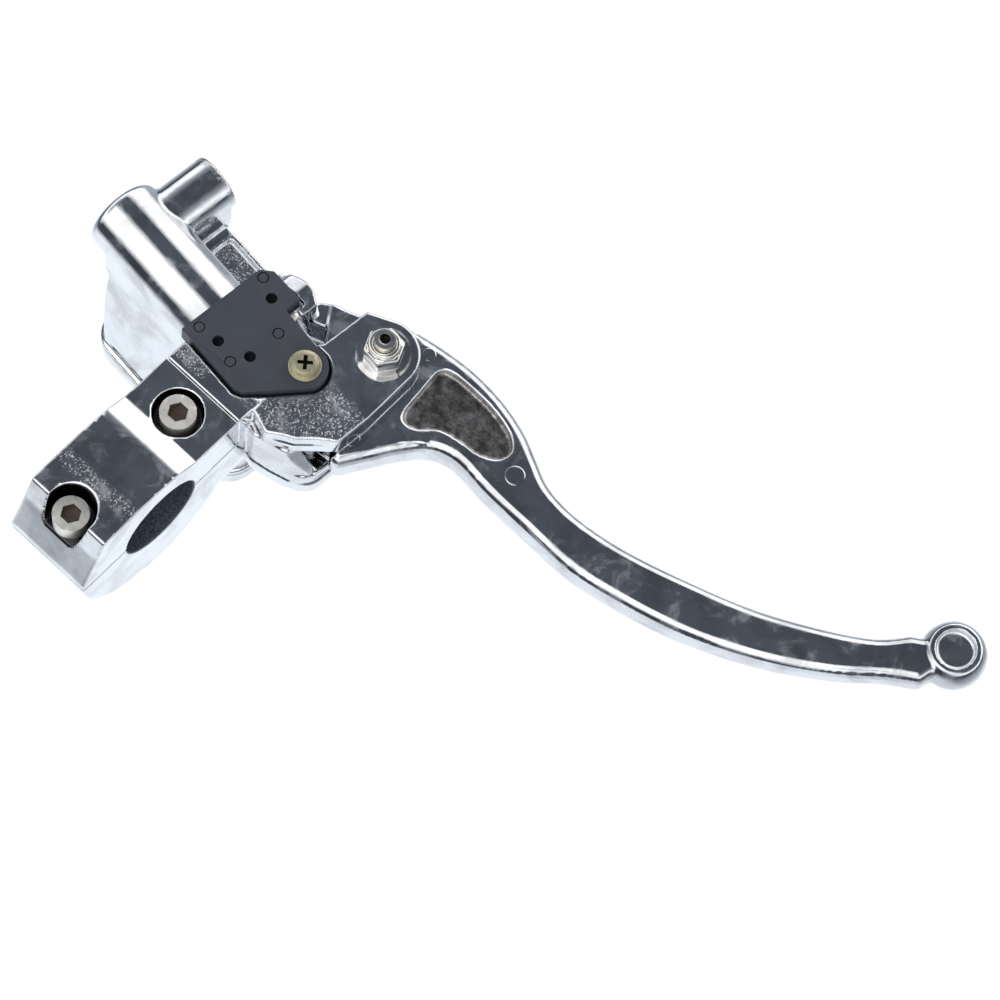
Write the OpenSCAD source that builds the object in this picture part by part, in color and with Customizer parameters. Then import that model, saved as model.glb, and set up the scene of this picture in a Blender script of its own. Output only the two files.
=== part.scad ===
// Hydraulic clutch master cylinder with lever, for a 1 inch handlebar, left-hand side.
// Row frame: origin at the middle of the handlebar clamp bore, +X along the bar towards the lever's
// free end, +Y towards the rider, +Z up (reservoir cap up). The cylinder, reservoir, ears, lever and
// switch are drawn in a frame turned about Z, because the barrel isn't parallel to the bar.

/* [Clamp] */
// Handlebar diameter
bar_d = 25.4; // [25.2:0.1:25.6]
// Width of the clamp along the bar
clamp_w = 26.6; // [24:0.2:28]
// Distance between the two clamp bolts
bolt_gap = 40; // [39:0.5:41]
// Half of the clamp's length across the bar
clamp_half = 29.3; // [29:0.1:30]
// Height of the clamp cap's crown below the bar's axis
cap_crown = 20.8; // [20.5:0.1:21.5]

/* [Cylinder] */
// Angle between the barrel and the handlebar
barrel_turn = 6; // [0:0.5:8]
// Outer diameter of the barrel
barrel_d = 22; // [21:0.5:24]
// Diameter of the cylinder bore
bore_d = 14; // [13:0.5:14]
// Distance of the barrel's axis in front of the bar
barrel_y = 49.5; // [49:0.5:50]
// Length of the barrel behind the origin
barrel_back = 62.8; // [61:0.2:64]

/* [Reservoir] */
// Length of the reservoir along the barrel
tank_l = 58.4; // [57:0.2:61]
// Height of the reservoir's rim above the barrel's axis
tank_top = 46; // [45:0.5:48]
// Thickness of the reservoir's cap
tank_cap_t = 5.4; // [5:0.1:6]

/* [Lever] */
// Distance of the pivot along the barrel's direction
pivot_x = 19.2; // [19:0.1:19.4]
// Distance of the pivot in front of the bar's axis
pivot_y = 73.4; // [73.2:0.1:73.6]
// Half thickness of the lever between the ears
lever_half = 6.3; // [6:0.1:6.4]
// Radius of the lever's round end
ball_r = 9.2; // [8.5:0.1:9.5]

/* [Switch] */
// Thickness of the whole switch case
switch_t = 6; // [5.6:0.1:6.4]

/* [Hidden] */
$fn = 64;

// clamp
bar_r = bar_d / 2;
split = 0.15;                // half of the gap between the clamp's halves
cap_end = 16;                // height of the cap's face next to the bracket
web_y = -clamp_half - 0.15;  // face of the bracket beside the cap
bolt_r = 3;                  // M6
bolt_seat = 10.8;            // depth of the bolt head's seat below the bar's axis
counterbore_r = 7;
head_r = 5;
head_h = 6;
top_r = 27.5;                // radius of the upper half's round back
thread_10_r = 5;             // M10

// cylinder and ears
barrel_r = barrel_d / 2;
bore_r = bore_d / 2;
mouth_x = 4;                 // open end of the barrel
bore_end = -57;              // closed end of the bore
boot_seat_r = 9;
boot_seat_x = -3;            // floor of the boot's counterbore
ear_in = lever_half + 0.3;   // inner faces of both ears
near_out = 15;               // outer face of the lower ear
far_out = 16;                // outer face of the upper ear
ear_r = 10;
end_r = 2.4;                 // rounding of the barrel's closed end
pad_z = barrel_r;            // flat pad that carries the switch
outlet_x = -52.5;
outlet_tip = 75.6;
outlet_r = 8;
relief_x = -38;
supply_x = -30;

// reservoir
tank_x0 = -54.4;
tank_x1 = tank_x0 + tank_l;
tank_floor = 12;
tank_front = 74;             // front wall at the rim
tank_rear = 32.2;            // rider-side wall at the rim
tank_mid = (tank_front + tank_rear) / 2;
lip = 0.8;
screw_x0 = tank_x0 + 4.6;
screw_x1 = tank_x1 - 4.6;

// lever
shoulder_r = 4;
bush_r = 6;
nose_r = 5;
ball_at = [177.5, -138.7];
run = 0.05;                  // running clearance of turning and sliding fits

// switch
sw_in = pad_z + 0.05;        // inner face of the base
sw_mid = sw_in + switch_t / 2;
sw_out = sw_in + switch_t;
plunger_x = -4.2;
plunger_tip = -63.3;
plunger_foot = -56.4;
screw_at = [9.4, -54.1];
pin_at = [[-17.3, -62], [-17.2, -39.7], [-4.3, -39.7], [-2.4, -54.8]];
hole_at = [[-11.3, -59.9], [-10.9, -41], [-2.1, -44.7]];

// One point of a smooth curve through p1 and p2
function curve_at(p0, p1, p2, p3, t) = 0.5 * (2 * p1 + (p2 - p0) * t
    + (2 * p0 - 5 * p1 + 4 * p2 - p3) * t * t + (3 * p1 - p0 - 3 * p2 + p3) * t * t * t);
// A smooth curve through all points, n steps between neighbours
function smooth(p, n) = [
    for (i = [0:len(p) - 2], k = [0:n - 1])
        curve_at(p[max(i - 1, 0)], p[i], p[i + 1], p[min(i + 2, len(p) - 1)], k / n),
    p[len(p) - 1]];
function arc(c, r, a0, a1, n = 16) = [
    for (i = [0:n]) let (a = a0 + (a1 - a0) * i / n) c + r * [cos(a), sin(a)]];
// Rings of a coil about Z: radius r, wire radius w, height h, turns t
function coil_ring(r, w, h, t, s, a) = [for (k = [0:5]) let (b = 60 * k, q = r + w * cos(b))
    [q * cos(a), q * sin(a), h * s + w * sin(b)]];

// The frame of the barrel, turned about the clamp's centre
module turned() rotate([0, 0, barrel_turn]) children();
// Draws a (y, z) outline as a prism along X from x0 to x1
module along_x(x0, x1) translate([x0, 0, 0]) rotate([90, 0, 90]) linear_extrude(x1 - x0) children();
// Draws an (x, z) outline as a prism along Y from y0 to y1
module along_y(y0, y1) translate([0, y1, 0]) rotate([90, 0, 0]) linear_extrude(y1 - y0) children();
// A flat plate from z0 to z1
module slab(z0, z1) translate([0, 0, z0]) linear_extrude(z1 - z0) children();
module rod_x(r, x0, x1) translate([x0, 0, 0]) rotate([0, 90, 0]) cylinder(r = r, h = x1 - x0);
module rounded(x0, x1, y0, y1, r) polygon(concat(
    arc([x1 - r, y1 - r], r, 0, 90, 8), arc([x0 + r, y1 - r], r, 90, 180, 8),
    arc([x0 + r, y0 + r], r, 180, 270, 8), arc([x1 - r, y0 + r], r, 270, 360, 8)));
module on_barrel() turned() translate([0, -barrel_y, 0]) children();
// Turns a profile of (radius, x) points about the barrel's axis
module barrel_turned(p) rotate([0, 90, 0]) rotate_extrude() polygon(p);
module coil(r, w, h, turns, steps = 18) {
    n = turns * steps;
    rings = [for (i = [0:n]) coil_ring(r, w, h, turns, i / n, 360 * i / steps)];
    polyhedron(points = [for (g = rings) each g], faces = concat(
        [[for (k = [0:5]) k]],
        [for (i = [0:n - 1], k = [0:5]) let (m = (k + 1) % 6)
            [6 * i + k, 6 * i + 6 + k, 6 * i + 6 + m, 6 * i + m]],
        [[for (k = [5:-1:0]) 6 * n + k]]), convexity = 6);
}

// ---- clamp ----
module upper_clamp() along_x(-clamp_w / 2, clamp_w / 2) difference() {
    polygon(concat([[-clamp_half, split]], arc([1, 2], top_r, 170, 10, 24), [[clamp_half, split]]));
    circle(bar_r, $fn = 96);
}

module bracket_web() {
    translate([-clamp_w / 2, -44, 0]) cube([clamp_w, 24, 17]);
    along_x(-clamp_w / 2, clamp_w / 2) polygon([[web_y, 1], [web_y, -cap_end],
        [-37, 0.2 - cap_end], [-44, -14], [-44, 1]]);
}

// Outer face of the clamp cap, from (y, height below the bar's axis)
function cap_face() = [for (p = concat([[24, 13]],
    smooth([[21, 20], [16, 20.5], [10, cap_crown], [4, 20.6], [-2, 20], [-7, 19.3]], 3),
    smooth([[-7.5, 19.1], [-12.4, 16.9], [-14, 16.5], [-22, 16.2], [-clamp_half, cap_end]], 3)))
    [p[0], -p[1]]];

module clamp_cap() color("silver") difference() {
    along_x(-clamp_w / 2, clamp_w / 2) difference() {
        polygon(concat([[-clamp_half, -split], [clamp_half, -split], [clamp_half, -2.5]], cap_face()));
        circle(bar_r, $fn = 96);
    }
    for (s = [-1, 1]) translate([0, s * bolt_gap / 2, 0]) {
        translate([0, 0, -30]) cylinder(r = bolt_r + 0.3, h = 31);
        translate([0, 0, -30 - bolt_seat]) cylinder(r = counterbore_r, h = 30);
    }
}

module clamp_bolts() color("gainsboro") for (s = [-1, 1]) translate([0, s * bolt_gap / 2, 0]) difference() {
    union() {
        translate([0, 0, -bolt_seat]) cylinder(r = bolt_r - 0.02, h = bolt_seat + 14);
        translate([0, 0, -bolt_seat - head_h]) cylinder(r = head_r, h = head_h);
    }
    translate([0, 0, -bolt_seat - head_h - 1]) cylinder(r = 2.9, h = 4, $fn = 6);
}

// ---- master body ----
module barrel() on_barrel() barrel_turned(concat([[0, -barrel_back]],
    [for (i = [0:8]) let (a = 90 * i / 8) [barrel_r - end_r + end_r * sin(a),
        -barrel_back + end_r - end_r * cos(a)]],
    [[barrel_r, mouth_x], [0, mouth_x]]));

module tank_block(x0, x1, r, wall, z0) intersection() {
    slab(z0, tank_top) rounded(x0, x1, -tank_front, -tank_rear, r);
    along_x(x0 - 1, x1 + 1) polygon([
        [-tank_front + 1.5 + wall, tank_floor], [-tank_rear - 6.3 - wall, tank_floor],
        [-tank_rear - wall, tank_top + 0.5], [-tank_front + wall, tank_top + 0.5]]);
}

module tank() {
    tank_block(tank_x0, tank_x1, 8, 0, tank_floor);
    slab(tank_top - 2.2, tank_top)
        rounded(tank_x0 - lip, tank_x1 + lip, -tank_front - lip, -tank_rear + lip, 8.5);
    // flat flanks from the barrel up to the reservoir
    translate([tank_x0 - 1.5, -barrel_y - barrel_r, 0]) cube([tank_l - 3, barrel_d, tank_floor + 1]);
}

module tank_room() difference() {
    tank_block(tank_x0 + 3, tank_x1 - 3, 5, 3.2, tank_floor + 5);
    for (x = [screw_x0, screw_x1]) translate([x, -tank_mid, 0]) cylinder(r = 4.4, h = 60);
}

module outlet() translate([outlet_x, 0, 0]) {
    translate([0, -barrel_y, 0]) rotate([90, 0, 0]) cylinder(r = outlet_r, h = outlet_tip - barrel_y);
    translate([-outlet_r, -outlet_tip + 1.5, 0]) cube([2 * outlet_r, 20, tank_floor + 1]);
}

// Lower ear; its wall on the rider's side bulges by b towards the slot
module near_ear_outline(b) polygon(concat(
    [[-8, -37], [8, -36.4], [16.4, -34.2 - b / 4], [20, -36.6 - b], [23, -38.6 - b], [26, -42.2 - b],
        [28.6, -45.2 - b / 2]],
    arc([28.2, -48.6], 2.6, 40, 0, 5), [[30.8, -58.5]],
    arc([pivot_x, -pivot_y], ear_r, 0, -125, 18), [[7.2, -77.8], [7, -62.3], [-8, -62.3]]));

// Upper ear; its outer corner draws in by d
module far_ear_outline(d) polygon(concat(
    [[-12, -37], [12.8, -32.8 - d], [18.4, -34.4 - d], [24, -36.6 - d]],
    arc([22.6 - d, -43.6], 6.6, 70, 0, 8), [[29 - d, -50], [28.2, -56], [29.2, -62]],
    arc([pivot_x, -pivot_y], ear_r, 0, -140, 18), [[2, -70], [-12, -62.3]]));

// Wall on the rider's side of the slot that takes the lever's heel, cut off at a slant
module heel_wall() intersection() {
    slab(-ear_in - 1, ear_in + 1) polygon([[-12, -37], [12.8, -33.4], [18.4, -35.2], [24, -37.4], [28, -41.5],
        [27, -43], [21, -40.4], [6, -40.4], [-12, -40.4]]);
    along_y(-60, -20) polygon([[-20, -9], [22.6, -9], [22.6, -ear_in], [28, ear_in], [28, 9], [-20, 9]]);
}

module switch_outline() polygon(concat(
    [[-19.7, -35.7], [-19.7, -62.7], [-16.8, -65.4], [-6.4, -65.6], [-6.2, -60.6], [5.7, -60.3]],
    arc(screw_at, 6.4, -80, 20, 12), [[4.6, -36.6], [2.4, -35.5]]));

module solid_body() {
    upper_clamp();
    bracket_web();
    barrel();
    turned() {
        tank();
        outlet();
        slab(-near_out, -ear_in) near_ear_outline(0.8);
        slab(-11, -ear_in) near_ear_outline(0);
        slab(ear_in, far_out) far_ear_outline(0.7);
        slab(11, far_out) far_ear_outline(0);
        heel_wall();
        translate([-19, -62.3, -pad_z]) cube([19 + mouth_x, 23, pad_z + tank_floor]);
    }
}

module master_body() color("silver") difference() {
    solid_body();
    // handlebar, clamp bolt threads
    along_x(-30, 30) circle(bar_r, $fn = 96);
    for (s = [-1, 1]) translate([0, s * bolt_gap / 2, -1]) cylinder(r = bolt_r, h = 17);
    // bore, boot seat, circlip groove
    on_barrel() {
        rod_x(bore_r, bore_end, mouth_x + 1);
        rod_x(boot_seat_r, boot_seat_x, mouth_x + 1);
        rod_x(bore_r + 0.8, -4.9, -3.7);
    }
    turned() {
        // slot for the lever's heel and hub
        slab(-ear_in, ear_in) polygon([[mouth_x, -40.4], [21, -40.4], [27, -43], [40, -38], [40, -90],
            [-24, -90], [-24, -62.6], [mouth_x, -62.6]]);
        // pocket round the switch
        slab(-20, -pad_z) offset(r = 0.7) switch_outline();
        slab(-near_out - 1, -pad_z) polygon([[-21, -66], [6.2, -66], [6.2, -59], [-21, -59]]);
        translate([screw_at[0], screw_at[1], -pad_z - 1]) cylinder(r = 2, h = pad_z);
        // pivot: thread in the lower ear, plain hole in the upper one, spot face under the nut
        translate([pivot_x, -pivot_y, -near_out - 1]) cylinder(r = bolt_r, h = 12);
        translate([pivot_x, -pivot_y, 0]) cylinder(r = shoulder_r + run, h = 20);
        translate([pivot_x, -pivot_y, -near_out - 1]) cylinder(r = 7.6, h = 1.3);
        // reservoir, ports, cap screw threads
        tank_room();
        for (x = [screw_x0, screw_x1]) translate([x, -tank_mid, tank_top - 12]) cylinder(r = 2, h = 13);
        translate([relief_x, -barrel_y, 0]) cylinder(r = 0.6, h = 20);
        translate([supply_x, -barrel_y, 0]) cylinder(r = 1.5, h = 20);
        // outlet port
        translate([outlet_x, -barrel_y, 0]) rotate([90, 0, 0]) cylinder(r = 1.5, h = 20);
        translate([outlet_x, -outlet_tip + 13, 0]) rotate([90, 0, 0]) cylinder(r = thread_10_r, h = 14);
        // shallow panel in the reservoir's underside
        slab(tank_floor - 1, tank_floor + 1.4) rounded(-41, -25, -71, -63.5, 1.5);
    }
}

// ---- reservoir lid ----
module reservoir_cap() color("silver") turned() difference() {
    slab(tank_top, tank_top + tank_cap_t)
        rounded(tank_x0 - lip, tank_x1 + lip, -tank_front - lip, -tank_rear + lip, 8.5);
    slab(tank_top - 1, tank_top + 2.6)
        rounded(tank_x0 + 1, tank_x1 - 1, -tank_front + 1.2, -tank_rear - 1.2, 7);
    for (x = [screw_x0, screw_x1]) translate([x, -tank_mid, tank_top]) {
        cylinder(r = 2.2, h = 10);
        translate([0, 0, tank_cap_t - 2.2]) rotate_extrude()
            polygon([[0, 0], [2.2, 0], [4.4, 2.2], [4.4, 3], [0, 3]]);
    }
    slab(tank_top + tank_cap_t - 0.8, tank_top + tank_cap_t + 1)
        rounded(tank_x0 + 11, tank_x1 - 11, -tank_front + 5, -tank_rear - 5, 4);
}

module cap_screws() color("gainsboro") turned() for (x = [screw_x0, screw_x1])
    translate([x, -tank_mid, tank_top + tank_cap_t - 2.2]) difference() {
        union() {
            rotate_extrude() polygon([[0, 0], [1.98, 0], [4.1, 2.1], [0, 2.1]]);
            translate([0, 0, -12]) cylinder(r = 1.98, h = 12.1);
        }
        for (a = [0, 90]) rotate([0, 0, a]) translate([-2.2, -0.5, 0.9]) cube([4.4, 1, 2]);
    }

module lid_frame(gap) difference() {
    rounded(tank_x0 + 1 + gap, tank_x1 - 1 - gap, -tank_front + 1.2 + gap, -tank_rear - 1.2 - gap, 7 - gap);
    for (x = [screw_x0, screw_x1]) translate([x, -tank_mid]) circle(2.4);
}

module diaphragm_plate() color("black") turned() slab(tank_top + 1.3, tank_top + 2.5) difference() {
    lid_frame(0.3);
    rounded(tank_x0 + 12, tank_x1 - 12, -tank_front + 9, -tank_rear - 9, 4);
}

// Rubber tub that hangs into the reservoir; its rim seals the lid
module diaphragm() color([0.1, 0.1, 0.1]) turned() {
    slab(tank_top, tank_top + 1.2) difference() {
        lid_frame(0.3);
        rounded(tank_x0 + 11, tank_x1 - 11, -tank_front + 7, -tank_rear - 8.5, 4);
    }
    slab(tank_top - 11, tank_top + 0.5) difference() {
        rounded(tank_x0 + 10, tank_x1 - 10, -tank_front + 6, -tank_rear - 7.5, 5);
        rounded(tank_x0 + 11, tank_x1 - 11, -tank_front + 7, -tank_rear - 8.5, 4);
    }
    slab(tank_top - 12, tank_top - 10.9)
        rounded(tank_x0 + 10, tank_x1 - 10, -tank_front + 6, -tank_rear - 7.5, 5);
}

module splash_plate() color("lightgray") turned() translate([0, 0, tank_floor + 5]) {
    for (s = [-1, 1]) slab(0, 2.5) translate([relief_x, s * 5 - barrel_y]) square([8, 0.8], center = true);
    slab(2.4, 3.2) translate([relief_x, -barrel_y]) square([8, 10.8], center = true);
}

// ---- cylinder parts ----
module piston() color("goldenrod") on_barrel() barrel_turned([
    [0, -37.4], [3.2, -37.4], [3.2, -33.4], [bore_r - run, -33.4], [bore_r - run, -31], [3.8, -29.5],
    [3.8, -17], [bore_r - run, -15.5], [bore_r - run, -13.4], [4.4, -13.4], [4.4, -10],
    [bore_r - run, -10], [bore_r - run, -6.2], [4, -6.2], [4, 7.6], [3.4, 7.6], [3.4, 9.2], [4, 9.2],
    [4, 11.8], [3, 12.95], [0, 12.95]]);

module cup(inner, x0, x1) barrel_turned([
    [inner, x1], [bore_r - 0.1, x1], [bore_r - 0.02, x0], [bore_r - 1.2, x0], [bore_r - 1.6, x1 - 1.3],
    [inner + 1, x1 - 1.3], [inner + 0.6, x0 + 0.8], [inner, x0 + 0.8]]);
module primary_cup() color([0.12, 0.12, 0.12]) on_barrel() cup(3.2, -37, -33.5);
module secondary_cup() color([0.12, 0.12, 0.12]) on_barrel() cup(4.4, -13.3, -10.1);

module return_spring() color("silver") on_barrel() translate([bore_end + 0.6, 0, 0]) rotate([0, 90, 0])
    coil(4.9, 0.5, 18.4, 7);

module stop_washer() color("silver") on_barrel() barrel_turned([[4.3, -6.1], [bore_r - 0.05, -6.1],
    [bore_r - 0.05, -5.1], [4.3, -5.1]]);

module circlip() color("dimgray") on_barrel() difference() {
    barrel_turned([[5.2, -4.8], [bore_r + 0.7, -4.8], [bore_r + 0.7, -3.8], [5.2, -3.8]]);
    translate([-5, 0, -1.4]) cube([2, 10, 2.8]);
}

// Bellows from the barrel's mouth to the groove near the piston's end
module dust_boot() color([0.08, 0.08, 0.08]) on_barrel() barrel_turned([
    [4.3, boot_seat_x + 0.05], [boot_seat_r - 0.05, boot_seat_x + 0.05], [boot_seat_r - 0.05, 1.6],
    [7.6, 2.6], [8.4, 4], [6.2, 5.4], [6.9, 6.7], [4.9, 7.7], [4.9, 9.1], [3.45, 9.1], [3.45, 7.7],
    [4.3, 7.65], [5.9, 6.6], [5.2, 5.3], [7.3, 4], [6.6, 2.4], [7.8, 1.2], [7.8, boot_seat_x + 1],
    [4.3, boot_seat_x + 1]]);

// ---- lever ----
// Outline of the lever's flat face from the heel to the round end
function blade_lower() = smooth([[31.4, -47.6], [34.6, -54], [38.8, -62.6], [44, -69.6], [52, -73.2],
    [64, -73.4], [79, -74.7], [95, -76.4], [110, -80.9], [124, -86.4], [137, -93.4], [149, -101.6], [160, -111],
    [169, -120.6], [176, -126.8]], 4);
function blade_upper() = smooth([[168.3, -131], [163, -123.4], [152.5, -114.6], [136, -103.6], [119.5, -95.4],
    [104, -88.8], [92, -85], [82, -83.2], [73, -83.4], [65, -86], [57, -88.6], [47, -90], [36, -89.6],
    [26, -87.6], [19, -85.6]], 4);
module blade_outline() polygon(concat([[19, -72]], blade_lower(), [ball_at], blade_upper()));
module side_taper(half) along_y(-160, -30) polygon([
    [0, half], [60, half], [165, half - 1], [200, half - 1],
    [200, 1 - half], [165, 1 - half], [60, -half], [0, -half]]);
module blade_layer(grow, half) intersection() {
    slab(-half, half) offset(r = grow) blade_outline();
    side_taper(half);
}

module heel_outline() polygon(concat(
    [[4, -66], [12.6, -62.5], [14.2, -55]], arc([pivot_x - 1, -barrel_y], nose_r, 185, 70, 9),
    [[22.6, -47.2], [27.8, -48.6], [31.2, -47.3], [34.6, -53], [38.8, -62.6], [44, -68]],
    arc([pivot_x, -pivot_y], 13, -30, -110, 12), [[4, -78], [-3, -74.6]]));
module arm_outline() polygon([[6, -71], [-3, -66.9], [-17.2, -66.4], [-19.2, -67.6], [-19, -69.4],
    [-15.5, -71.6], [-9, -72.3], [-6, -71.6], [-5, -73], [-2, -75.4], [6, -78]]);
module arm_block_outline() polygon([[-3, -66.4], [-16.6, -66.2], [-17.6, -67.6], [-15.4, -70],
    [-11, -71.2], [-7, -71], [-3, -69]]);
// Faceted block at the arm's end, beside the switch
module arm_block() intersection() {
    slab(-14.4, 0) arm_block_outline();
    along_y(-75, -60) polygon([[-18, 0], [-18, -7.8], [-14.8, -11.8], [-9, -14.4], [-2.6, -14.4], [-2.6, 0]]);
}
module pocket_outline() polygon(smooth([[30, -83.6], [31.6, -76], [33, -69.6], [35.4, -67.4], [38.8, -68.6],
    [43, -73.2], [49, -75.4], [55, -76.8], [59.4, -79.8], [60, -84], [56, -87], [48, -88.2], [38, -87.6],
    [31.8, -86.2], [30, -83.6]], 4));

module lever() color("silver") turned() difference() {
    union() {
        slab(-lever_half, lever_half) heel_outline();
        slab(-5.8, 5.8) arm_outline();
        arm_block();
        // finger that holds the switch plunger in at rest
        translate([-5.1, -66.6, -14.4]) cube([2.2, 3, 2]);
        blade_layer(0, 6.2);
        blade_layer(0.9, 5.9);
        blade_layer(1.6, 5.2);
        blade_layer(2.1, 4.3);
        blade_layer(2.4, 3);
        intersection() {
            translate([ball_at[0], ball_at[1], 0]) sphere(r = ball_r);
            translate([ball_at[0], ball_at[1], 0]) cube([30, 30, 12], center = true);
        }
    }
    translate([pivot_x, -pivot_y, -10]) cylinder(r = bush_r, h = 20);
    for (z = [-10, 4]) slab(z, z + 6) pocket_outline();
    for (z = [-8, 4]) translate([ball_at[0], ball_at[1], z]) cylinder(r = 5.4, h = 4);
}

module pivot_bush() color("peru") turned() translate([pivot_x, -pivot_y, -lever_half]) difference() {
    cylinder(r = bush_r - 0.01, h = 2 * lever_half);
    translate([0, 0, -1]) cylinder(r = shoulder_r + run, h = 20);
}

module pivot_bolt() color("gainsboro") turned() translate([pivot_x, -pivot_y, 0]) difference() {
    union() {
        translate([0, 0, far_out]) cylinder(r = 6.5, h = 4);
        translate([0, 0, 0.1 - ear_in]) cylinder(r = shoulder_r, h = far_out + ear_in);
        translate([0, 0, -25.1]) cylinder(r = bolt_r - 0.02, h = 20);
    }
    translate([-7, -0.8, far_out + 2.2]) cube([14, 1.6, 3]);
    translate([0, 0, -26]) cylinder(r = 1.5, h = 2.6);
}

module pivot_nut() color("gainsboro") turned() translate([pivot_x, -pivot_y, 0]) difference() {
    union() {
        translate([0, 0, -20.2]) cylinder(r = 5.77, h = 20.2 - near_out + 0.3, $fn = 6);
        translate([0, 0, -22.3]) cylinder(r = 4.4, h = 3);
    }
    translate([0, 0, -30]) cylinder(r = bolt_r, h = 20);
}

// ---- switch ----
module switch_room() offset(delta = -1.1) difference() {
    switch_outline();
    translate([3, -70]) square([20, 40]);
}
module plunger_hole() translate([plunger_x, -58, -sw_mid]) rotate([90, 0, 0])
    cylinder(r = 1.3 + run, h = 6);

module switch_base() color([0.22, 0.23, 0.26]) turned() difference() {
    union() {
        slab(-sw_mid, -sw_in) switch_outline();
        for (p = pin_at) translate([p[0], p[1], -sw_out + 0.2]) {
            cylinder(r = 1.3, h = 1, $fn = 32);
            cylinder(r = 0.8, h = 5.2, $fn = 32);
        }
    }
    difference() {
        slab(-sw_mid - 1, -sw_in - 1.2) switch_room();
        for (p = pin_at) translate([p[0], p[1], -20]) cylinder(r = 0.8, h = 10, $fn = 32);
    }
    plunger_hole();
    translate([screw_at[0], screw_at[1], -20]) cylinder(r = 2.3, h = 12);
}

module switch_cover() color([0.24, 0.25, 0.28]) turned() difference() {
    slab(-sw_out, -sw_mid) switch_outline();
    slab(-sw_out + 1.2, -sw_mid + 1) switch_room();
    for (p = pin_at) translate([p[0], p[1], -20]) cylinder(r = 1.6, h = 10, $fn = 32);
    for (p = hole_at) translate([p[0], p[1], -20]) cylinder(r = 1.6, h = 4.5, $fn = 32);
    plunger_hole();
    translate([screw_at[0], screw_at[1], -20]) cylinder(r = 2.3, h = 12);
}

module switch_plunger() color("gainsboro") turned() {
    translate([plunger_x, plunger_foot, -sw_mid]) rotate([90, 0, 0])
        cylinder(r = 1.3, h = plunger_foot - plunger_tip - 1.3);
    translate([plunger_x, plunger_tip + 1.3, -sw_mid]) sphere(r = 1.3, $fn = 32);
    translate([plunger_x - 2, plunger_foot - 0.7, -sw_mid - 1.4]) cube([3.3, 0.7, 2.8]);
}

module switch_spring() color("silver") turned()
    translate([plunger_x, plunger_foot + 0.2, -sw_mid]) rotate([-90, 0, 0]) coil(0.75, 0.15, 6.2, 7, 12);

// Brass bar across the plunger's foot, which bridges both contacts
module switch_blade() color("gold") turned() translate([-14.6, -57, -sw_mid - 1]) cube([8.4, 1.5, 0.4]);

module switch_contacts() color("gold") turned() for (x = [-14.4, -9.6]) {
    translate([x, -55.2, -sw_mid - 0.6]) cube([2.8, 0.4, 1.2]);
    translate([x, -54.8, -sw_mid - 0.6]) cube([2.8, 8, 0.5]);
}

module switch_screw() color([0.75, 0.72, 0.55]) turned() translate([screw_at[0], screw_at[1], 0]) difference() {
    union() {
        translate([0, 0, -sw_out - 0.75]) cylinder(r = 1.98, h = 10);
        translate([0, 0, -sw_out - 3.1]) cylinder(r = 3, h = 1);
        translate([0, 0, -sw_out - 2.5]) cylinder(r = 3.7, h = 1.76);
    }
    for (a = [45, 135]) rotate([0, 0, a]) translate([-2.1, -0.55, -sw_out - 4]) cube([4.2, 1.1, 2.4]);
}

module switch_washer() color([0.72, 0.7, 0.5]) turned()
translate([screw_at[0], screw_at[1], -sw_out - 0.74]) difference() {
    cylinder(r = 4.5, h = 0.7);
    translate([0, 0, -1]) cylinder(r = 2.15, h = 3);
}

master_body();
clamp_cap();
clamp_bolts();
reservoir_cap();
cap_screws();
diaphragm_plate();
diaphragm();
splash_plate();
piston();
primary_cup();
secondary_cup();
return_spring();
stop_washer();
circlip();
dust_boot();
lever();
pivot_bush();
pivot_bolt();
pivot_nut();
switch_base();
switch_cover();
switch_plunger();
switch_spring();
switch_blade();
switch_contacts();
switch_screw();
switch_washer();
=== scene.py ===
import math

import bpy
from mathutils import Matrix, Vector


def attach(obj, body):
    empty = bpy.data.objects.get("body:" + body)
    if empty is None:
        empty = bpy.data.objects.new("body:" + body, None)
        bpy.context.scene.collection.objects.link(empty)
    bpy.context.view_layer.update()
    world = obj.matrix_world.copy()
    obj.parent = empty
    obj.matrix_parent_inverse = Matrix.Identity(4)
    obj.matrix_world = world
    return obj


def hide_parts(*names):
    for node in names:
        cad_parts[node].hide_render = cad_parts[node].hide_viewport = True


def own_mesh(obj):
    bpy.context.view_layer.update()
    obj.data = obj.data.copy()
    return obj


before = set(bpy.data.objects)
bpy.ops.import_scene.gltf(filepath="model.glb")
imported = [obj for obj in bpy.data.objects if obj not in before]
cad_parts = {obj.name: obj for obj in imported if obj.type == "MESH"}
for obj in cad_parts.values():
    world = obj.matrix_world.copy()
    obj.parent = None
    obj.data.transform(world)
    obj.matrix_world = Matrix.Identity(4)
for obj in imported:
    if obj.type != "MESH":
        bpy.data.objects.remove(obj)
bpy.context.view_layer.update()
scene = bpy.context.scene
scene.view_settings.view_transform = "Standard"

TURN = math.radians(6)              # the barrel, ears, lever and switch stand at this angle to the bar
WELD = 0.000002                     # points closer than this, in metres, are one
EDGE_ANGLE = math.radians(28)       # sharper edges than this are rounded
DISC_STEPS = 48                     # corners round a raised mark
FLOOR_HALF, FLOOR_LEVEL = 60.0, -1.6
TENT_STRENGTH = 1.65
BORE_EDGE = 13.1                    # how far from the bar's axis the bore's dark wall reaches, in mm
CAMERA_AT = (0.3171, 0.3054, -1.1891)
CAMERA_LENS, CAMERA_SENSOR = 170.63, 36


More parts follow.
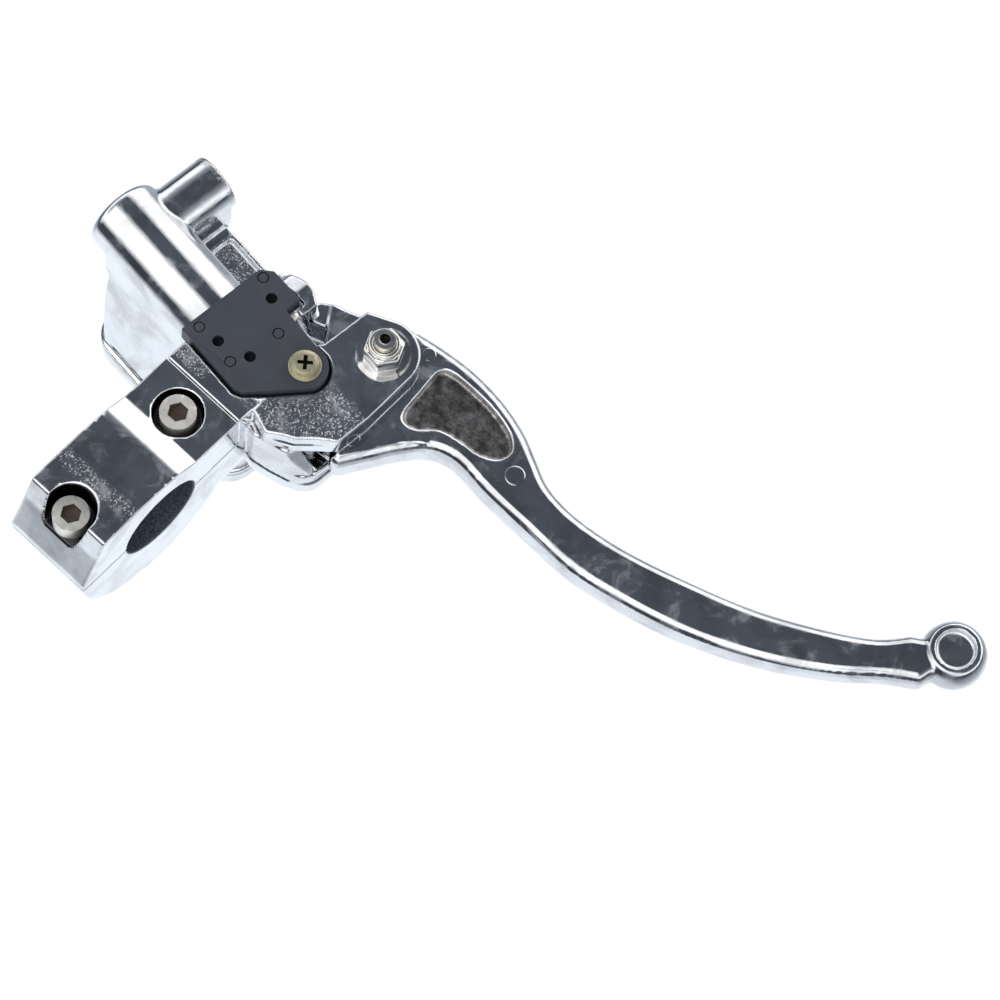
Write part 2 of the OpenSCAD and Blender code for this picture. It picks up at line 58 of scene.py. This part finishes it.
# ---- camera, floor and studio ----
def make_camera():
    right = Vector((0.7287, -0.6817, -0.0648)).normalized()
    back = Vector((0.1911, 0.2933, -0.9367))
    back = (back - back.dot(right) * right).normalized()
    data = bpy.data.cameras.new("camera")
    data.sensor_width = CAMERA_SENSOR
    data.lens = CAMERA_LENS
    cam = bpy.data.objects.new("camera", data)
    scene.collection.objects.link(cam)
    turn = Matrix((right, back.cross(right), back)).transposed()
    cam.matrix_world = Matrix.Translation(CAMERA_AT) @ turn.to_4x4()
    scene.camera = cam


def make_world():
    """A light tent: soft white and charcoal bands round the X axis, and calmer ones towards its ends."""
    world = bpy.data.worlds.new("studio")
    scene.world = world
    world.use_nodes = True
    nt = world.node_tree
    nt.nodes.clear()
    out = nt.nodes.new("ShaderNodeOutputWorld")
    coord = nt.nodes.new("ShaderNodeTexCoord")
    xyz = nt.nodes.new("ShaderNodeSeparateXYZ")
    nt.links.new(coord.outputs["Generated"], xyz.inputs[0])

    def math_node(op, a, b=None, c=None, clamp=False):
        n = nt.nodes.new("ShaderNodeMath")
        n.operation = op
        n.use_clamp = clamp
        for i, v in enumerate((a, b, c)):
            if v is None:
                continue
            if isinstance(v, (int, float)):
                n.inputs[i].default_value = v
            else:
                nt.links.new(v, n.inputs[i])
        return n.outputs[0]

    def ramp(fac, stops):
        n = nt.nodes.new("ShaderNodeValToRGB")
        els = n.color_ramp.elements
        while len(els) < len(stops):
            els.new(0.5)
        for e, (p, c) in zip(els, stops):
            e.position = p
            e.color = (*c, 1)
        nt.links.new(fac, n.inputs[0])
        return n.outputs[0]

    # angle round X: 0 straight down, a quarter turn towards +Y, half a turn straight up
    down = math_node("MULTIPLY", xyz.outputs[2], -1.0)
    angle = math_node("ARCTAN2", xyz.outputs[1], down)
    turn = math_node("MULTIPLY_ADD", angle, 1 / (2 * math.pi), 0.5)
    white, pale, mid = (1.0, 1.0, 1.0), (0.62, 0.66, 0.7), (0.27, 0.29, 0.32)
    coal, dark = (0.056, 0.064, 0.078), (0.04, 0.045, 0.055)

    def at(deg, c):
        return (deg + 180) / 360, c

    round_x = ramp(turn, [
        at(-180, pale), at(-150, pale), at(-128, mid), at(-97, mid), at(-84, white), at(-44, white),
        at(-31, coal), at(-10, coal), at(4, coal), at(18, white), at(64, white), at(82, dark),
        at(104, dark), at(122, pale), at(180, pale)])
    # towards both ends: dark just above the horizon and straight down, light below it and overhead
    ends = ramp(math_node("MULTIPLY_ADD", xyz.outputs[2], 0.5, 0.5), [
        (0.0, coal), (0.2, mid), (0.34, white), (0.46, pale), (0.52, dark), (0.6, coal), (0.74, mid),
        (1.0, pale)])
    side = math_node("ABSOLUTE", xyz.outputs[0])
    side = math_node("MULTIPLY_ADD", side, 4.0, -1.8, clamp=True)
    mix = nt.nodes.new("ShaderNodeMix")
    mix.data_type = "RGBA"
    nt.links.new(side, mix.inputs["Factor"])
    nt.links.new(round_x, mix.inputs["A"])
    nt.links.new(ends, mix.inputs["B"])
    tent = nt.nodes.new("ShaderNodeBackground")
    tent.inputs["Strength"].default_value = TENT_STRENGTH
    nt.links.new(mix.outputs["Result"], tent.inputs["Color"])
    backdrop = nt.nodes.new("ShaderNodeBackground")
    backdrop.inputs["Color"].default_value = (1, 1, 1, 1)
    path = nt.nodes.new("ShaderNodeLightPath")
    pick = nt.nodes.new("ShaderNodeMixShader")
    nt.links.new(path.outputs["Is Camera Ray"], pick.inputs[0])
    nt.links.new(tent.outputs[0], pick.inputs[1])
    nt.links.new(backdrop.outputs[0], pick.inputs[2])
    nt.links.new(pick.outputs[0], out.inputs[0])


def make_floor():
    """A plain pale floor well below the part; the light tent doesn't see it."""
    half, level = FLOOR_HALF, FLOOR_LEVEL
    mesh = bpy.data.meshes.new("floor")
    corners = [(-half, -half, level), (half, -half, level), (half, half, level), (-half, half, level)]
    mesh.from_pydata(corners, [], [(0, 1, 2, 3)])
    floor = bpy.data.objects.new("floor", mesh)
    scene.collection.objects.link(floor)
    floor.visible_glossy = False
    floor.visible_diffuse = False
    floor.visible_shadow = False
    s = Nodes("floor", (0.86, 0.865, 0.87), 0.0, 0.9)
    tint = s.mix_rgb(s.noise(3, 3), (0.85, 0.855, 0.86, 1), (0.88, 0.885, 0.89, 1))
    s.put(s.bsdf.inputs["Base Color"], tint)
    mesh.materials.append(s.m)


# ---- materials ----
class Nodes:
    """Short calls for one material's nodes."""

    def __init__(self, name, rgb, metallic, rough):
        self.m = bpy.data.materials.new(name)
        self.m.use_nodes = True
        self.nt = self.m.node_tree
        self.bsdf = self.nt.nodes["Principled BSDF"]
        self.bsdf.inputs["Base Color"].default_value = (*rgb, 1)
        self.bsdf.inputs["Metallic"].default_value = metallic
        self.bsdf.inputs["Roughness"].default_value = rough
        self.at = self.nt.nodes.new("ShaderNodeTexCoord").outputs["Object"]

    def put(self, socket, value):
        """Sets a socket to a plain value, links it to another node's output, or leaves it alone."""
        if isinstance(value, (int, float, tuple)):
            socket.default_value = value
        elif value is not None:
            self.nt.links.new(value, socket)

    def calc(self, op, a, b=None, c=None):
        n = self.nt.nodes.new("ShaderNodeMath")
        n.operation = op
        for s, v in zip(n.inputs, (a, b, c)):
            self.put(s, v)
        return n.outputs[0]

    def noise(self, scale, detail=3.0, rough=0.5, distortion=0.0):
        n = self.nt.nodes.new("ShaderNodeTexNoise")
        self.put(n.inputs["Vector"], self.at)
        n.inputs["Scale"].default_value = scale
        n.inputs["Detail"].default_value = detail
        n.inputs["Roughness"].default_value = rough
        n.inputs["Distortion"].default_value = distortion
        return n.outputs["Fac"]

    def ramp(self, fac, p0, p1, v0=0.0, v1=1.0):
        """Smooth change from v0 at p0 to v1 at p1."""
        n = self.nt.nodes.new("ShaderNodeMapRange")
        n.interpolation_type = "SMOOTHSTEP"
        for s, v in zip(n.inputs, (fac, p0, p1, v0, v1)):
            self.put(s, v)
        return n.outputs[0]

    def mix_rgb(self, fac, a, b):
        n = self.nt.nodes.new("ShaderNodeMix")
        n.data_type = "RGBA"
        self.put(n.inputs["Factor"], fac)
        self.put(n.inputs["A"], a)
        self.put(n.inputs["B"], b)
        return n.outputs["Result"]

    def bump(self, height, distance, normal=None):
        n = self.nt.nodes.new("ShaderNodeBump")
        n.inputs["Distance"].default_value = distance
        self.put(n.inputs["Height"], height)
        self.put(n.inputs["Normal"], normal)
        return n.outputs[0]

    def xyz(self, turned=True):
        """The three coordinates in metres, in the barrel's frame or in the bar's."""
        v = self.at
        if turned:
            r = self.nt.nodes.new("ShaderNodeVectorRotate")
            r.rotation_type = "Z_AXIS"
            r.inputs["Angle"].default_value = -TURN
            self.put(r.inputs["Vector"], v)
            v = r.outputs[0]
        split = self.nt.nodes.new("ShaderNodeSeparateXYZ")
        self.put(split.inputs[0], v)
        return split.outputs

    def length(self, a, b):
        return self.calc("SQRT", self.calc("MULTIPLY_ADD", a, a, self.calc("MULTIPLY", b, b)))

    def box(self, lo, hi, soft, turned=True):
        """1 inside a box in millimetres, fading out over soft millimetres."""
        at = self.xyz(turned)
        f = None
        for k in range(3):
            for edge, ends in ((lo[k], (0.0, 1.0)), (hi[k], (1.0, 0.0))):
                g = self.ramp(at[k], (edge - soft / 2) / 1000, (edge + soft / 2) / 1000, *ends)
                f = g if f is None else self.calc("MULTIPLY", f, g)
        return f

    def slanted(self, slope, limit):
        """1 where y + slope * x is below limit, in millimetres in the barrel's frame."""
        at = self.xyz()
        t = self.calc("MULTIPLY_ADD", at[0], slope, at[1])
        return self.ramp(t, (limit - 0.2) / 1000, (limit + 0.2) / 1000, 1.0, 0.0)

    def well(self, x, y, radius, z_from, z_to, turned=True):
        """1 in an upright round hole at x, y between two heights, all in millimetres."""
        at = self.xyz(turned)
        d = self.length(self.calc("SUBTRACT", at[0], x / 1000), self.calc("SUBTRACT", at[1], y / 1000))
        inside = self.ramp(d, (radius - 0.05) / 1000, (radius + 0.05) / 1000, 1.0, 0.0)
        below = self.ramp(at[2], z_to / 1000, (z_to + 0.3) / 1000, 1.0, 0.0)
        inside = self.calc("MULTIPLY", inside, below)
        return self.calc("MULTIPLY", inside, self.ramp(at[2], z_from / 1000, (z_from + 0.7) / 1000))

    def near_x_axis(self, radius, soft):
        """1 within radius millimetres of the bar's axis."""
        at = self.xyz(turned=False)
        d = self.length(at[2], at[1])
        return self.ramp(d, (radius - soft) / 1000, (radius + soft) / 1000, 1.0, 0.0)


def shaded(rgb, factor):
    """The colour made darker or lighter, with full alpha."""
    return (*[c * factor for c in rgb], 1)


def cast_zones(s, zones, look):
    """Specks of the cast surface under the plating, inside each zone."""
    cast = None
    for z in zones:
        b = s.box(*z)
        cast = b if cast is None else s.calc("MAXIMUM", cast, b)
    specks = s.ramp(s.noise(1900, 2, 0.65), 0.54, 0.74)
    look["normal"] = s.bump(s.calc("MULTIPLY", specks, cast), 0.00004, look["normal"])
    look["rough"] = s.calc("MULTIPLY_ADD", cast, 0.12, look["rough"])


def stained(s, zone, look):
    """A dull brown, uneven floor: a box, and a slanted line that closes it off."""
    dull = s.calc("MULTIPLY", s.box(*zone[:3]), s.slanted(*zone[3:]))
    blotch = s.ramp(s.noise(300, 5, 0.7), 0.35, 0.72)
    brown = s.mix_rgb(blotch, (0.12, 0.112, 0.105, 1), (0.5, 0.48, 0.47, 1))
    look["tint"] = s.mix_rgb(dull, look["tint"], brown)
    look["rough"] = s.calc("MAXIMUM", look["rough"], s.calc("MULTIPLY", dull, 0.3))
    uneven = s.calc("MULTIPLY", s.noise(1200, 3, 0.7), dull)
    look["normal"] = s.bump(uneven, 0.0001, look["normal"])


def dark_bore(s, look):
    """The unpolished navy wall of the handlebar's bore."""
    inside = s.near_x_axis(BORE_EDGE, 0.3)
    speck = s.ramp(s.noise(1700, 3, 0.7), 0.42, 0.62)
    navy = s.mix_rgb(speck, (0.045, 0.055, 0.078, 1), (0.1, 0.12, 0.16, 1))
    look["tint"] = s.mix_rgb(inside, look["tint"], navy)
    look["rough"] = s.calc("MAXIMUM", look["rough"], s.calc("MULTIPLY", inside, 0.42))
    look["normal"] = s.bump(s.calc("MULTIPLY", speck, inside), 0.00008, look["normal"])
    s.put(s.bsdf.inputs["Metallic"], s.calc("MULTIPLY_ADD", inside, -0.6, 1.0))


def chrome(name, rgb, zones=(), stains=(), bore=False, painted_shade_wells=(), smear=0.2):
    """Bright plating with cloudy patches, and the zones, stains and bore it is given, with painted shade
    darkening the round holes it is given.
    """
    soft = 0.045
    s = Nodes(name, rgb, 1.0, soft)
    smudge = s.ramp(s.noise(120, 5, 0.65, distortion=0.8), 0.44, 0.66)
    patch = s.ramp(s.noise(75, 4, 0.6, distortion=0.5), 0.4, 0.66)
    tint = s.mix_rgb(s.noise(900, 3, 0.6), (rgb[0] * 0.93, rgb[1] * 0.94, rgb[2] * 0.95, 1), (*rgb, 1))
    look = {
        "rough": s.calc("MULTIPLY_ADD", smudge, smear, soft),
        "normal": s.bump(s.noise(160, 2, 0.4), 0.00006),
        "tint": s.mix_rgb(patch, tint, (rgb[0] * 0.72, rgb[1] * 0.71, rgb[2] * 0.7, 1)),
    }
    if zones:
        cast_zones(s, zones, look)
    for z in stains:
        stained(s, z, look)
    if bore:
        dark_bore(s, look)
    # painted shade: each round hole given here is darkened to near black
    for w in painted_shade_wells:
        look["tint"] = s.mix_rgb(s.well(*w), look["tint"], (0.06, 0.06, 0.062, 1))
    s.put(s.bsdf.inputs["Normal"], look["normal"])
    s.put(s.bsdf.inputs["Roughness"], look["rough"])
    s.put(s.bsdf.inputs["Base Color"], look["tint"])
    return s.m


def metal(name, rgb, rough, metallic=1.0, painted_shade_wells=(), well_shade_rgb=(0.02, 0.018, 0.015)):
    """Worn metal with a fine grain, and painted shade darkening the round holes it is given."""
    grain, worn = 700, 0.15
    s = Nodes(name, rgb, metallic, rough)
    n = s.noise(grain, 4, 0.6)
    s.put(s.bsdf.inputs["Roughness"], s.calc("MULTIPLY_ADD", n, worn, rough - worn / 2))
    tint = s.mix_rgb(s.ramp(s.noise(grain / 3, 3), 0.35, 0.7), (*rgb, 1), shaded(rgb, 0.76))
    # painted shade: each round hole given here is darkened towards the shade colour
    for w in painted_shade_wells:
        tint = s.mix_rgb(s.well(*w), tint, (*well_shade_rgb, 1))
    s.put(s.bsdf.inputs["Base Color"], tint)
    s.put(s.bsdf.inputs["Normal"], s.bump(n, 0.00002))
    return s.m


def plastic(name, rgb, rough):
    """Matt black plastic or rubber with a fine grain."""
    s = Nodes(name, rgb, 0.0, rough)
    s.put(s.bsdf.inputs["Normal"], s.bump(s.noise(2600, 2, 0.6), 0.00002))
    s.put(s.bsdf.inputs["Roughness"], s.calc("MULTIPLY_ADD", s.noise(240, 3), 0.16, rough - 0.08))
    s.put(s.bsdf.inputs["Base Color"], s.mix_rgb(s.noise(120, 3), shaded(rgb, 0.86), shaded(rgb, 1.14)))
    return s.m


make_camera()
make_world()
make_floor()

CHROME = (0.8, 0.815, 0.84)
CAST_ZONES = [
    ((3, -58, -16), (31, -34, -12), 2.5),            # lower ear beside the switch
    ((-42, -73, 10), (-23, -62, 16), 1.0),           # panel under the reservoir
    ((-62, -77, -9), (-43, -73.6, 9), 1.0),          # tip of the outlet boss
    ((-14, 8, -23), (14, 13, -17), 2.5, False),      # band across the clamp cap
    ((-19, -38, -18), (-2, -31, -13), 2.0, False),   # bracket beside the upper clamp bolt
]
# floors of both pockets of the lever: box, soft edge, and the slope and limit of the slanted line
LEVER_STAINS = [((29, -88.5, -4.6), (61.5, -65.5, 4.6), 0.3, 0.45, -51)]
# holes painted dark inside as painted shade: x, y, radius, from and to height, in the barrel's frame unless
# False
# painted shade in the clamp bolts' counterbores
BOLT_WELLS_PAINTED_SHADE = [(0, 20, 7.15, -21, -10, False), (0, -20, 7.15, -16, -10, False)]
# painted shade in the hex sockets of the clamp bolts and at the pivot
NICKEL_WELLS_PAINTED_SHADE = [(0, 20, 3.0, -16.8, -13, False), (0, -20, 3.0, -16.8, -13, False),
                (19.2, -73.4, 1.6, -25, -22)]
# painted shade in the switch screw's cross recess
ZINC_WELLS_PAINTED_SHADE = [(9.4, -54.1, 2.2, -20.1, -18)]
M = {
    "casting": chrome("chrome_casting", CHROME, CAST_ZONES, bore=True, painted_shade_wells=BOLT_WELLS_PAINTED_SHADE),
    "lever": chrome("chrome_lever", (0.74, 0.75, 0.78), (), LEVER_STAINS, smear=0.26),
    "nickel": metal("nickel", (0.96, 0.93, 0.86), 0.42, metallic=0.8, painted_shade_wells=NICKEL_WELLS_PAINTED_SHADE,
                    well_shade_rgb=(0.2, 0.17, 0.13)),
    "nut": metal("nut_nickel", (0.88, 0.86, 0.81), 0.22, painted_shade_wells=NICKEL_WELLS_PAINTED_SHADE,
                 well_shade_rgb=(0.06, 0.05, 0.04)),
    "zinc": metal("zinc", (0.66, 0.62, 0.42), 0.36, metallic=0.85, painted_shade_wells=ZINC_WELLS_PAINTED_SHADE),
    "switch": plastic("switch_plastic", (0.047, 0.053, 0.068), 0.5),
    "black": plastic("black_plastic", (0.03, 0.03, 0.03), 0.45),
    "rubber": plastic("rubber", (0.02, 0.02, 0.021), 0.7),
    "piston": metal("piston_alloy", (0.72, 0.6, 0.38), 0.25),
    "spring": metal("spring_steel", (0.6, 0.6, 0.6), 0.3),
    "bronze": metal("bronze", (0.6, 0.42, 0.2), 0.4),
    "brass": metal("contact_brass", (0.75, 0.58, 0.28), 0.3),
}
NODE_LOOK = {
    "clamp_bolts": "nickel", "cap_screws": "nickel", "diaphragm_plate": "black", "diaphragm": "rubber",
    "splash_plate": "spring", "piston": "piston", "primary_cup": "rubber", "secondary_cup": "rubber",
    "return_spring": "spring", "stop_washer": "spring", "circlip": "spring", "dust_boot": "rubber",
    "pivot_bush": "bronze", "pivot_bolt": "nut", "pivot_nut": "nut", "switch_base": "switch",
    "switch_cover": "switch", "switch_plunger": "nickel", "switch_spring": "spring", "switch_blade": "brass",
    "switch_contacts": "brass", "switch_screw": "zinc", "switch_washer": "zinc",
    "master_body": "casting", "clamp_cap": "casting", "reservoir_cap": "casting", "lever": "lever",
}


# ---- pieces in place of the plain nodes ----
def copied(node, ending):
    """A new object with a copy of the node's own shape."""
    ob = bpy.data.objects.new(node + ending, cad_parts[node].data.copy())
    scene.collection.objects.link(ob)
    return ob


def welded(ob):
    weld = ob.modifiers.new("weld", "WELD")
    weld.merge_threshold = WELD


def dressed(ob, look):
    """Gives the object one material and nothing else."""
    ob.data.materials.clear()
    ob.data.materials.append(M[look])


def applied(ob, look):
    """Makes the modifiers' result the object's own mesh, in one material."""
    graph = bpy.context.evaluated_depsgraph_get()
    ob.data = bpy.data.meshes.new_from_object(ob.evaluated_get(graph))
    ob.modifiers.clear()
    dressed(ob, look)


def soft_casting(node, body, look, voxel, rounds):
    """The node's own shape with the soft edges of a polished casting. voxel is in metres."""
    ob = copied(node, "_cast")
    welded(ob)
    remesh = ob.modifiers.new("remesh", "REMESH")
    remesh.mode = "VOXEL"
    remesh.voxel_size = voxel
    smooth = ob.modifiers.new("smooth", "SMOOTH")
    smooth.factor = 0.5
    smooth.iterations = rounds
    applied(ob, look)
    for p in ob.data.polygons:
        p.use_smooth = True
    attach(ob, body)
    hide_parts(node)


def bevelled(node, look, width):
    """The node's own shape with small rounded edges. width is in metres."""
    ob = copied(node, "_edged")
    welded(ob)
    bevel = ob.modifiers.new("bevel", "BEVEL")
    bevel.width = width
    bevel.segments = 2
    bevel.limit_method = "ANGLE"
    bevel.angle_limit = EDGE_ANGLE
    ob.modifiers.new("normals", "WEIGHTED_NORMAL")
    for p in ob.data.polygons:
        p.use_smooth = True
    applied(ob, look)
    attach(ob, "body")
    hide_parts(node)


def squashed(node, look):
    """A soft or coiled piece on the barrel's axis, with a mesh of its own."""
    ob = copied(node, "_soft")
    dressed(ob, look)
    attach(ob, "body")
    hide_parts(node)
    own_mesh(ob)


def disc(name, x, y, z, r, height, look, body):
    """A raised round mark on a face that looks down, x and y in the barrel's frame, in millimetres."""
    # radius and height of each ring, from the face up the side and in to the middle
    rings = [(r, 0.0), (r, height * 0.6), (r - 0.3, height), (r * 0.5, height), (0.001, height)]
    steps = DISC_STEPS
    at = Matrix.Rotation(TURN, 4, "Z") @ Vector((x / 1000, y / 1000, z / 1000))
    verts = []
    for q, h in rings:
        for k in range(steps):
            angle = 2 * math.pi * k / steps
            verts.append((at.x + q / 1000 * math.cos(angle), at.y + q / 1000 * math.sin(angle),
                          at.z - h / 1000))
    faces = []
    for i in range(len(rings) - 1):
        low, high = i * steps, (i + 1) * steps
        for k in range(steps):
            after = (k + 1) % steps
            faces.append((low + k, high + k, high + after, low + after))
    faces.append(tuple(range(steps)))
    faces.append(tuple(len(verts) - steps + k for k in range(steps)))
    mesh = bpy.data.meshes.new(name)
    mesh.from_pydata(verts, [], faces)
    mesh.validate()
    mesh.materials.append(M[look])
    ob = bpy.data.objects.new(name, mesh)
    scene.collection.objects.link(ob)
    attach(ob, body)


for node, look in NODE_LOOK.items():
    dressed(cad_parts[node], look)

soft_casting("master_body", "body", "casting", 0.00042, 6)
soft_casting("clamp_cap", "body", "casting", 0.0004, 6)
soft_casting("reservoir_cap", "body", "casting", 0.0004, 4)
soft_casting("lever", "lever_unit", "lever", 0.0004, 8)

bevelled("clamp_bolts", "nickel", 0.0004)
bevelled("pivot_bolt", "nut", 0.00035)
bevelled("pivot_nut", "nut", 0.0005)
bevelled("cap_screws", "nickel", 0.0002)
bevelled("switch_screw", "zinc", 0.0003)
bevelled("switch_washer", "zinc", 0.00015)
bevelled("switch_base", "switch", 0.0002)
bevelled("switch_cover", "switch", 0.0003)

squashed("return_spring", "spring")
squashed("dust_boot", "rubber")

# ejector marks on the lever's lower face
LEVER_MARKS = [(24.9, -85.1, 2.0), (30.1, -53.4, 2.4), (65.9, -80.2, 2.8)]
for i, (x, y, r) in enumerate(LEVER_MARKS):
    disc("lever_mark_%d" % (i + 1), x, y, -6.12, r, 0.22, "lever", "lever_unit")
